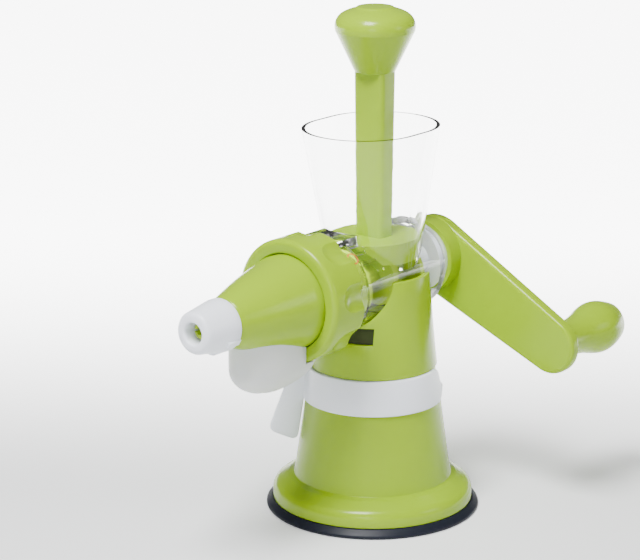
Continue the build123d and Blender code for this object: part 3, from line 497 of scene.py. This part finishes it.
FINISHES = {
    "green": Finish(
        "lime_plastic",
        colour=(0.27, 0.43, 0.001),
        shade_colour=(0.25, 0.40, 0.001),
        roughness=0.20,
        spread=0.06,
        cloud_scale=22,
        relief_scale=700,
        relief=0.03,
        scuffs=0.02,
        specular=0.30,
    ),
    "auger": Finish(
        "auger_plastic",
        colour=(0.42, 0.60, 0.01),
        shade_colour=(0.38, 0.56, 0.01),
        roughness=0.32,
        relief_scale=800,
        relief=0.04,
        scuffs=0.03,
        specular=0.25,
    ),
    "white": Finish(
        "white_plastic",
        colour=(0.84, 0.87, 0.93),
        shade_colour=(0.81, 0.84, 0.91),
        roughness=0.28,
        cloud_scale=25,
        relief_scale=800,
        relief=0.04,
        scuffs=0.03,
    ),
    "milky": Finish(
        "milky_plastic",
        colour=(0.66, 0.68, 0.66),
        shade_colour=(0.60, 0.62, 0.60),
        roughness=0.36,
        spread=0.10,
        cloud_scale=25,
        relief_scale=800,
        relief=0.04,
        scuffs=0.03,
        subsurface=0.5,
    ),
    "clear": Finish(
        "clear_plastic",
        colour=(0.99, 0.995, 0.99),
        shade_colour=(0.98, 0.985, 0.98),
        roughness=0.01,
        spread=0.02,
        cloud_scale=12,
        relief_scale=60,
        relief=0.02,
        scuffs=0.02,
        transmission=1.0,
        ior=1.36,
    ),
    "rubber": Finish(
        "black_rubber",
        colour=(0.006, 0.008, 0.016),
        shade_colour=(0.01, 0.012, 0.02),
        roughness=0.38,
        spread=0.12,
        cloud_scale=40,
        relief_scale=1200,
        relief=0.06,
        scuffs=0.05,
        specular=0.22,
    ),
    "dark": Finish(
        "dark_plastic",
        colour=(0.035, 0.045, 0.010),
        shade_colour=(0.020, 0.027, 0.006),
        roughness=0.45,
        spread=0.15,
        cloud_scale=60,
        relief_scale=1500,
        relief=0.2,
        specular=0.15,
    ),
    "steel": Finish(
        "turned_steel",
        colour=(0.56, 0.56, 0.58),
        shade_colour=(0.48, 0.48, 0.5),
        roughness=0.28,
        spread=0.12,
        cloud_scale=60,
        relief_scale=1500,
        relief=0.04,
        metallic=1.0,
    ),
    "ink": Finish(
        "orange_ink",
        colour=(0.65, 0.16, 0.01),
        shade_colour=(0.55, 0.11, 0.008),
        roughness=0.4,
        spread=0.1,
        cloud_scale=120,
        relief_scale=1500,
        scuffs=0.05,
    ),
}


class Wardrobe:
    """Builds each finish once and hands it out by name."""

    def __init__(self) -> None:
        """Start with no materials made."""
        self.made: dict[str, bpy.types.Material] = {}

    def __getitem__(self, name: str) -> bpy.types.Material:
        """The material of a finish.

        Args:
            name: key of the finish.

        Returns:
            Its material.
        """
        if name not in self.made:
            self.made[name] = FINISHES[name].build()
        return self.made[name]

    def dress(self, node: str, finish: str) -> None:
        """Give a carried-over CAD node its finish."""
        thing = frame["nodes"][node]
        if not thing.material_slots:
            thing.data.materials.append(self[finish])
        for slot in thing.material_slots:
            slot.material = self[finish]


# ---------------------------------------------------------------- sub-assemblies


@dataclass
class Foot:
    """The suction cup under the stand."""

    radius: float = 64 * MM
    rim: float = 5 * MM
    lip: float = 1.8 * MM
    land: float = 10 * MM
    hollow: float = 3.5 * MM
    crown: float = 9 * MM
    skirt: float = 60 * MM
    hub: float = 14 * MM

    def build(self, wear: Wardrobe) -> None:
        """Turn the rubber cup, with a rolled lip and a shallow hollow."""
        r, h = self.radius, self.rim
        outline = rounded(
            [
                (self.hollow, 0),
                (self.hollow, self.hub),
                (0, r - self.land, 2 * MM),
                (0, r, 0.8 * MM),
                (self.lip, r, 1.5 * MM),
                (h, self.skirt + 0.6 * MM, 1.0 * MM),
                (h, self.skirt - 4.5 * MM),
                (self.crown, self.hub + 4 * MM),
                (self.crown, 0),
            ],
            5,
        )
        cup = turned("suction_cup_rubber", outline, Line.STAND, steps=160)
        shade(cup, 40)
        place(cup, "root", "black_rubber", wear["rubber"], "suction_cup")


@dataclass
class Stand:
    """The green stand shell and the dark latch in its window."""

    crease: tuple[float, float] = (20 * MM, 47.2 * MM)
    waist: tuple[float, float] = (84 * MM, 38.7 * MM)
    top: tuple[float, float] = (145.8 * MM, 33.0 * MM)
    wall: float = 3 * MM
    skirt: float = 60 * MM
    base: float = 5 * MM
    groove_low: float = 67.2 * MM
    groove_high: float = 88.8 * MM
    groove_depth: float = 1.2 * MM
    groove_round: float = 0.3 * MM
    window: tuple[float, float, float] = (22 * MM, 109.5 * MM, 119.5 * MM)
    saddle_r: float = 27.9 * MM
    saddle_reach: float = 90 * MM
    levels: int = 14

    def radius(self, z: float) -> float:
        """Outer radius of the concave wall at a height, a parabola through three points."""
        points = (self.crease, self.waist, self.top)
        total = 0.0
        for i, (zi, ri) in enumerate(points):
            term = ri
            for j, (zj, _) in enumerate(points):
                if j != i:
                    term *= (z - zj) / (zi - zj)
            total += term
        return total

    def groove(self) -> list[tuple[float, ...]]:
        """The shallow groove that the collar's band lies in, from its lower edge up."""
        low, high = self.groove_low, self.groove_high
        step = 0.01 * MM
        return [
            (low, self.radius(low), self.groove_round),
            (low + step, self.radius(low) - self.groove_depth),
            (high - step, self.radius(high) - self.groove_depth),
            (high, self.radius(high), self.groove_round),
        ]

    def shell(self) -> bpy.types.Object:
        """Turn the shell: rounded skirt, crease, concave wall and the collar's groove.

        Returns:
            The uncut shell.
        """
        rise = (self.top[0] - self.crease[0]) / self.levels
        levels = [self.crease[0] + rise * i for i in range(1, self.levels + 1)]
        outer: list[tuple[float, ...]] = [
            (self.base, self.skirt - self.wall),
            (self.base, self.skirt, 0.8 * MM),
            (self.base + 8.6 * MM, self.skirt, 7.5 * MM),
            (self.crease[0] - 1.2 * MM, self.crease[1] + 3.4 * MM, 3.0 * MM),
            (self.crease[0], self.crease[1], 0.7 * MM),
        ]
        low, high = self.groove_low, self.groove_high
        outer += [(z, self.radius(z)) for z in levels if z < low - 2 * MM]
        outer += self.groove()
        outer += [(z, self.radius(z)) for z in levels if z > high + 2 * MM]
        inner = [(z, self.radius(z) - self.wall) for z in reversed(levels)]
        inner.append((self.crease[0], self.crease[1] - self.wall))
        inner.append((self.crease[0] - 7.5 * MM, self.skirt - self.wall - 4 * MM))
        inner.append((self.base + 4 * MM, self.skirt - self.wall))
        return turned("stand_shell", rounded(outer + inner, 6), Line.STAND, steps=144)

    def build(self, wear: Wardrobe) -> None:
        """Cut the saddle and the window into the shell, then soften and dress it."""
        axis = axis_height()
        shell = self.shell()
        reach, bore = self.saddle_reach, self.saddle_r
        saddle = [(-reach, 0), (reach, 0), (reach, bore), (-reach, bore)]
        combine(shell, turned("saddle_tool", saddle, Line.AUGER, axis, 96))
        half, low, high = self.window
        window = block("window_tool", Vector((-self.skirt, -half, low)), Vector((-20 * MM, half, high)))
        combine(shell, window)
        soften(shell, 0.7 * MM, 38)
        shade(shell, 38)
        place(shell, "root", "green_plastic", wear["green"], "stand_body")
        latch = from_frame("release_latch", "latch_ridges")
        place(latch, "latch", "dark_plastic", wear["dark"], "release_latch")


def axis_height() -> Vector:
    """A point on the auger axis, from the crank joint of the frame."""
    for joint in frame["joints"]:
        if joint["name"] == "crank_turn":
            return Vector(joint["pos_m"])
    return Vector((0, 0, 144 * MM))


@dataclass
class PressHead:
    """Cone housing, locking ring, nozzle cap and juice spout at the front of the drum."""

    ring_r: float = 36.2 * MM
    ring_bore: float = 30.9 * MM
    lip: float = 28.1 * MM
    flutes: int = 8
    first_flute: float = 172.5
    flute_depth: float = 2.6 * MM
    scoop: float = 20 * MM
    shelf_depth: float = 12.5 * MM
    cone_root: float = 27.6 * MM
    cone_tip: float = 14 * MM
    cone_foot: float = 21.5 * MM
    belly: float = 0.9 * MM
    flange: float = 4 * MM
    flange_r: float = 30.4 * MM
    wall: float = 2.5 * MM
    boss_l: float = 8 * MM
    boss_bore: float = 8 * MM
    boss_r: float = 10.5 * MM
    cap_back: float = 15 * MM
    cap_front: float = 11.8 * MM
    cap_bore: float = 11 * MM
    cap_face: float = 6 * MM
    outlet: float = 6.2 * MM
    rib_half: float = 1.8 * MM
    rib_degrees: tuple[int, ...] = (210, 270, 330)

    def ring(self, wear: Wardrobe) -> None:
        """Turn the locking ring, then press its flutes in between the grips."""
        low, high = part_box("locking_ring")
        front, back = low[0], high[0]
        r, bore, lip = self.ring_r, self.ring_bore, self.lip
        shelf = back - self.shelf_depth
        stations = [(front + (back - front) * i / 20) for i in range(5, 20)]
        outline = rounded(
            [
                (back, bore, 0.5 * MM),
                (shelf, bore),
                (shelf, lip),
                (front, lip, 1.0 * MM),
                (front, r, 5.5 * MM),
                *[(x, r) for x in stations],
                (back, r, 1.6 * MM),
            ],
            8,
        )
        ring = turned("ring_green", outline, Line.AUGER, axis_height(), 216)
        self.press_flutes(ring, front, back)
        shade(ring, 50)
        place(ring, "ring", "green_plastic", wear["green"], "locking_ring")

    def press_flutes(self, ring: bpy.types.Object, front: float, back: float) -> None:
        """Scoop the finger flutes with round-nosed cutters that run out towards the front.

        Args:
            ring: the turned ring.
            front: station of its front face.
            back: station of its rear face.
        """
        axis = axis_height()
        reach = self.scoop
        centre_x = front + 0.34 * (back - front) + 9 * MM
        past = back + 5 * MM
        arc = [math.radians(a) for a in range(0, 91, 5)]
        tool = [(centre_x - reach * math.cos(a), reach * math.sin(a)) for a in arc]
        tool += [(past, reach), (past, 0)]
        out = self.ring_r - self.flute_depth + reach
        for i in range(self.flutes):
            turn = math.radians(self.first_flute + 360 / self.flutes * i)
            line = axis + Vector((0, math.cos(turn), math.sin(turn))) * out
            combine(ring, turned("flute_tool", tool, Line.AUGER, line, 96))
        soften(ring, 0.6 * MM, 24)

    def cone(self, wear: Wardrobe) -> None:
        """Turn the cone housing with its slight belly, rear flange and pulp boss."""
        low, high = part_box("front_housing")
        back, boss = high[0], low[0]
        tip = boss + self.boss_l
        root = back - self.cone_foot
        wall, flange_x = self.wall, back - self.flange
        middle = ((root + tip) / 2, (self.cone_root + self.cone_tip) / 2 + self.belly)
        outside = flowing([(tip, self.cone_tip), middle, (root, self.cone_root)], 10)
        inside = flowing([(root, self.cone_root), middle, (tip, self.cone_tip)], 10)
        outside[0] = (tip + 0.5 * MM, self.cone_tip)
        inside[-1] = (tip + wall, self.cone_tip)
        outline = [
            (boss, self.boss_bore),
            (boss, self.boss_r),
            (tip, self.boss_r),
            (tip, self.cone_tip - 0.6 * MM),
            *outside,
            (flange_x, self.cone_root),
            (flange_x, self.flange_r),
            (back, self.flange_r),
            (back, self.cone_root - wall),
            *[(x, r - wall) for x, r in inside],
            (tip + wall, self.boss_bore),
        ]
        cone = turned("cone_housing", outline, Line.AUGER, axis_height(), 160)
        shade(cone, 35)
        place(cone, "root", "green_plastic", wear["green"], "front_housing")

    def nozzle(self, wear: Wardrobe) -> None:
        """Turn the nozzle cap with its rounded lip and add three grip ribs."""
        low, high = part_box("nozzle_cap")
        front, back = low[0], high[0]
        axis = axis_height()
        outline = rounded(
            [
                (back, self.cap_bore),
                (back, self.cap_back, 1.0 * MM),
                (back - 4 * MM, self.cap_back, 2.0 * MM),
                (front, self.cap_front, 3.2 * MM),
                (front, self.outlet, 1.3 * MM),
                (front + self.cap_face, self.outlet),
                (front + self.cap_face, self.cap_bore),
            ],
            7,
        )
        cap = turned("nozzle_white", outline, Line.AUGER, axis, 128)
        for degrees in self.rib_degrees:
            rib = block(
                "rib_tool",
                Vector((back - 9.5 * MM, -self.rib_half, self.cap_back - 2 * MM)),
                Vector((back - 0.6 * MM, self.rib_half, self.cap_back + 0.7 * MM)),
            )
            rib.data.transform(Matrix.Rotation(math.radians(degrees - 90), 4, "X"))
            rib.data.transform(Matrix.Translation(axis))
            combine(cap, rib, "UNION")
        soften(cap, 0.5 * MM, 40)
        shade(cap, 40)
        place(cap, "cap", "white_plastic", wear["white"], "nozzle_cap")

    def build(self, wear: Wardrobe) -> None:
        """Build every piece of the head."""
        self.ring(wear)
        self.cone(wear)
        self.nozzle(wear)
        spout = from_frame("juice_spout", "spout_milky", 40)
        place(spout, "root", "milky_plastic", wear["milky"], "juice_spout")
        for node, finish in (
            ("pressure_sleeve", "white"),
            ("juice_screen", "steel"),
            ("front_gasket", "milky"),
        ):
            wear.dress(node, finish)


@dataclass
class Drum:
    """The clear drum and hopper, its printed mark and the auger inside."""

    wall_r: float = 30.5 * MM
    mark_r: float = 3.8 * MM
    mark_line: float = 0.8 * MM
    mark_turn: float = 44.0
    mark_back: float = 3.6 * MM
    ink_sink: float = 0.02 * MM
    ink_proud: float = 0.12 * MM
    socket_r: float = 6.05 * MM
    core_r: float = 9 * MM
    nose_r: float = 18.5 * MM
    shoulder: float = 19.5 * MM
    tip_r: float = 5 * MM
    tip_l: float = 25.5 * MM
    tip_sink: float = 6.5 * MM
    slot_depth: float = 4 * MM
    slots: tuple[tuple[float, float], ...] = ((2.2 * MM, 2.2 * MM), (6.0 * MM, 0.9 * MM))

    def build(self, wear: Wardrobe) -> None:
        """Dress the clear moulding and the feed parts behind it."""
        drum = from_frame("drum_hopper", "drum_clear", 25)
        place(drum, "root", "clear_plastic", wear["clear"], "drum_hopper")
        self.mark(wear)
        auger = self.screw()
        place(auger, "crank", "green_plastic", wear["auger"], "auger")
        wear.dress("rear_bushing", "white")
        wear.dress("rear_seal", "milky")


    def mark(self, wear: Wardrobe) -> None:
        """Print a plain orange ring on the drum collar, just behind the locking ring."""
        low, high = self.wall_r - self.ink_sink, self.wall_r + self.ink_proud
        inner, outer = self.mark_r - self.mark_line, self.mark_r
        band = [(low, inner), (high, inner), (high, outer), (low, outer)]
        ring = turned("drum_mark", band, Line.STAND, steps=64)
        for vertex in ring.data.vertices:
            x, y, out = vertex.co
            vertex.co = (x, out * math.sin(y / self.wall_r), out * math.cos(y / self.wall_r))
        centre = Vector((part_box("locking_ring")[1].x + self.mark_r + self.mark_back, 0, 0))
        ring.data.transform(Matrix.Rotation(math.radians(self.mark_turn), 4, "X"))
        ring.data.transform(Matrix.Translation(axis_height() + centre))
        shade(ring, 40)
        place(ring, "root", "clear_plastic", wear["ink"])

    def screw(self) -> bpy.types.Object:
        """Join the flight to its core, pressing nose and tip, and cut the slots of the tip.

        The CAD node holds only the flight, so the rest is built here.

        Returns:
            The whole auger.
        """
        axis = axis_height()
        flight_low, flight_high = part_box("auger")
        back = flight_high.x + 1.3 * MM
        root = flight_low.x + 1.7 * MM
        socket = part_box("drive_shaft")[0].x - 0.5 * MM
        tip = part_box("nozzle_cap")[0].x + self.tip_sink
        outline = [
            (back, self.socket_r),
            (back, self.core_r),
            (root + self.shoulder, self.core_r),
            (root, self.nose_r, 1.5 * MM),
            (tip + self.tip_l, self.tip_r + 0.4 * MM),
            (tip + self.tip_l - 2 * MM, self.tip_r),
            (tip, self.tip_r, 1.5 * MM),
            (tip, 0),
            (socket, 0),
            (socket, self.socket_r),
        ]
        auger = turned("auger_screw", rounded(outline, 4), Line.AUGER, axis, 96)
        combine(auger, from_frame("auger", "flight_tool", 40), "UNION")
        for half_y, half_z in self.slots:
            low = Vector((tip - MM, -half_y, axis.z - half_z))
            high = Vector((tip + self.slot_depth, half_y, axis.z + half_z))
            combine(auger, block("slot_tool", low, high))
        shade(auger, 40)
        return auger


@dataclass
class Crank:
    """Crank arm with its fasteners, and the turning grip."""

    def build(self, wear: Wardrobe) -> None:
        """Dress the arm and build the grip."""
        arm = from_frame("crank_arm", "arm_green", 25)
        place(arm, "crank", "green_plastic", wear["green"], "crank_arm")
        grip = from_frame("grip", "grip_green", 40)
        place(grip, "grip", "green_plastic", wear["green"], "grip")
        wear.dress("grip_end_cap", "green")
        for node in ("drive_shaft", "crank_washer", "crank_screw", "grip_spindle"):
            wear.dress(node, "steel")


@dataclass
class Pusher:
    """The food pusher and its domed cap."""

    def build(self, wear: Wardrobe) -> None:
        """Dress the stem and the cap."""
        stem = from_frame("pusher_stem", "pusher_green", 30)
        place(stem, "pusher", "green_plastic", wear["green"], "pusher_stem")
        cap = from_frame("pusher_cap", "pusher_dome", 40)
        place(cap, "pusher", "green_plastic", wear["green"], "pusher_cap")


@dataclass
class Collar:
    """The white suction collar and the hidden suction mechanism."""

    low: float = 67.5 * MM
    high: float = 88.5 * MM
    proud: float = 1.5 * MM
    sink: float = 0.9 * MM
    first: float = 94.5
    last: float = 299.0
    paddle_angle: float = 132.5
    paddle: float = 3.2 * MM
    corner: float = 9 * MM

    def band(self, wall: Stand) -> bpy.types.Object:
        """Turn the open band with rolled edges and round the corners of its free end.

        Args:
            wall: the stand whose wall it follows.

        Returns:
            The band.
        """
        low, high = self.low, self.high
        sweep = math.radians(self.last - self.first)
        start = math.radians(self.first)
        middle = (low + high) / 2
        outline = rounded(
            [
                (low, wall.radius(low) - self.sink),
                (low, wall.radius(low) + self.proud, 1.0 * MM),
                (middle, wall.radius(middle) + self.proud + 0.25 * MM, 60 * MM),
                (high, wall.radius(high) + self.proud, 1.0 * MM),
                (high, wall.radius(high) - self.sink),
                (middle, wall.radius(middle) - self.sink),
            ],
            5,
        )
        band = swept("collar_band", outline, start, sweep, 96)
        for vertex in band.data.vertices:
            angle = math.atan2(vertex.co.y, vertex.co.x) % FULL_TURN
            radius = math.hypot(vertex.co.x, vertex.co.y)
            to_end = (math.radians(self.last) - angle) * radius
            for edge, sign in ((high, -1), (low, 1)):
                inset = self.corner - to_end
                if inset <= 0 or abs(vertex.co.z - edge) > self.corner:
                    continue
                reach = self.corner - math.sqrt(max(self.corner**2 - inset**2, 0))
                share = 1 - abs(vertex.co.z - edge) / (high - low) * 2
                vertex.co.z += sign * reach * max(share, 0)
        return band

    def build(self, wear: Wardrobe) -> None:
        """Build the collar with its paddle and dress the parts inside the stand."""
        wall = Stand()
        band = self.band(wall)
        combine(band, self.paddle_blade(), "UNION")
        soften(band, 0.6 * MM, 50)
        band.name = band.data.name = "collar_white"
        shade(band, 40)
        place(band, "collar", "white_plastic", wear["white"], "suction_collar")
        self.dress_inside(wear)

    def paddle_blade(self) -> bpy.types.Object:
        """Extrude the paddle's outline and turn it to its angle.

        Returns:
            The blade, ready to be joined to the band.
        """
        wall = Stand()
        blade = extruded(
            "paddle_blade",
            rounded(
                [
                    (wall.radius(self.high) - 0.3 * MM, self.high - 0.6 * MM),
                    (48 * MM, self.high - 0.2 * MM, 5 * MM),
                    (63 * MM, 47 * MM, 4.5 * MM),
                    (wall.radius(40 * MM) + 1.2 * MM, 40 * MM, 3.5 * MM),
                    (wall.radius(self.low) + 0.8 * MM, self.low - 1.5 * MM),
                    (wall.radius(self.low) - 0.3 * MM, self.low + 0.8 * MM),
                ],
                6,
            ),
            self.paddle,
        )
        blade.data.transform(Matrix.Rotation(math.radians(self.paddle_angle), 4, "Z"))
        soften(blade, 0.9 * MM, 50)
        return blade

    def dress_inside(self, wear: Wardrobe) -> None:
        """Dress the suction mechanism."""
        for node, finish in (
            ("lift_cam", "white"),
            ("base_plate", "white"),
            ("base_plate_screws", "steel"),
            ("suction_stud", "steel"),
            ("stud_cross_pin", "steel"),
            ("latch_spring", "steel"),
        ):
            wear.dress(node, finish)


# ---------------------------------------------------------------- studio


@dataclass
class Studio:
    """Pale floor, soft light and the camera."""

    azimuth: float = -50.82
    elevation: float = 15.94
    distance: float = 1.472
    lens: float = 139.98
    aim: tuple[float, float, float] = (-0.02003, 0.02457, 0.13922)
    floor_size: float = 7.0
    room: float = 0.24
    lamps: tuple[tuple[str, tuple[float, float, float], float, float], ...] = (
        ("key", (-0.62, -0.12, 1.35), 0.5, 44),
        ("front", (-1.6, -0.9, 0.60), 0.6, 8),
        ("side", (0.5, -1.5, 0.6), 0.5, 4),
    )
    glow: float = 8.0
    glow_near: float = 0.0
    glow_far: float = 0.65
    glow_floor: float = 0.02

    def floor(self) -> None:
        """A pale floor with painted light: it glows more strongly away from the viewer, so the far floor is
        brighter and lights the juicer from behind.
        """
        deselect()
        bpy.ops.mesh.primitive_plane_add(size=self.floor_size, location=(0, 0, -0.2 * MM))
        floor = bpy.context.object
        floor.name = "floor"
        material = bpy.data.materials.new("glowing_sweep")
        material.use_nodes = True
        tree = material.node_tree
        shader = tree.nodes["Principled BSDF"]
        where = tree.nodes.new("ShaderNodeTexCoord")
        away = tree.nodes.new("ShaderNodeVectorMath")
        away.operation = "DOT_PRODUCT"
        turn = math.radians(self.azimuth)
        away.inputs[1].default_value = (-math.sin(turn), math.cos(turn), 0)
        link(tree, where.outputs["Object"], away.inputs[0])
        rise = tree.nodes.new("ShaderNodeMapRange")
        rise.interpolation_type = "SMOOTHSTEP"
        rise.inputs["From Min"].default_value = self.glow_near
        rise.inputs["From Max"].default_value = self.glow_far
        rise.inputs["To Min"].default_value = self.glow_floor
        link(tree, away.outputs["Value"], rise.inputs["Value"])
        # Painted light: the floor's emission rises from almost none near the viewer to full strength
        # farther away, a glow that lights the juicer from behind.
        link(tree, rise.outputs["Result"], shader.inputs["Emission Color"])
        shader.inputs["Base Color"].default_value = (0.86, 0.87, 0.88, 1)
        shader.inputs["Roughness"].default_value = 0.6
        shader.inputs["Specular IOR Level"].default_value = 0.1
        shader.inputs["Emission Strength"].default_value = self.glow
        floor.data.materials.append(material)

    def lamp(self, name: str, place_at: tuple[float, float, float], size: float, power: float) -> None:
        """A square soft lamp aimed at the juicer.

        Args:
            name: name of the lamp.
            place_at: where it hangs.
            size: side of its panel.
            power: watts.
        """
        data = bpy.data.lights.new(name, "AREA")
        data.size = size
        data.energy = power
        lamp = bpy.data.objects.new(name, data)
        bpy.context.scene.collection.objects.link(lamp)
        lamp.location = place_at
        lamp.rotation_mode = "QUATERNION"
        lamp.rotation_quaternion = (Vector(self.aim) - Vector(place_at)).to_track_quat("-Z", "Y")

    def camera(self) -> None:
        """Put the camera at the viewing angle."""
        a, e = math.radians(self.azimuth), math.radians(self.elevation)
        back = Vector((math.sin(a) * math.cos(e), -math.cos(a) * math.cos(e), math.sin(e)))
        data = bpy.data.cameras.new("camera")
        data.lens = self.lens
        data.sensor_width = 36
        data.clip_end = 200
        camera = bpy.data.objects.new("camera", data)
        bpy.context.scene.collection.objects.link(camera)
        camera.location = Vector(self.aim) + back * self.distance
        camera.rotation_mode = "QUATERNION"
        camera.rotation_quaternion = (-back).to_track_quat("-Z", "Y")
        bpy.context.scene.camera = camera

    def build(self) -> None:
        """Set the floor, the surroundings, the lamps and the camera."""
        self.floor()
        world = bpy.data.worlds.new("bright_room")
        world.use_nodes = True
        sky = world.node_tree.nodes["Background"]
        sky.inputs["Color"].default_value = (1, 1, 1, 1)
        sky.inputs["Strength"].default_value = self.room
        bpy.context.scene.world = world
        for lamp in self.lamps:
            self.lamp(*lamp)
        self.camera()


def main() -> None:
    """Build every sub-assembly in order and report it."""
    logging.basicConfig(level=logging.INFO, format="%(name)s: %(message)s")
    wear = Wardrobe()
    Studio().build()
    for part in (Foot(), Stand(), Collar(), PressHead(), Drum(), Crank(), Pusher()):
        part.build(wear)
        log.info("%s done", type(part).__name__)


if __name__ == "__main__":
    main()
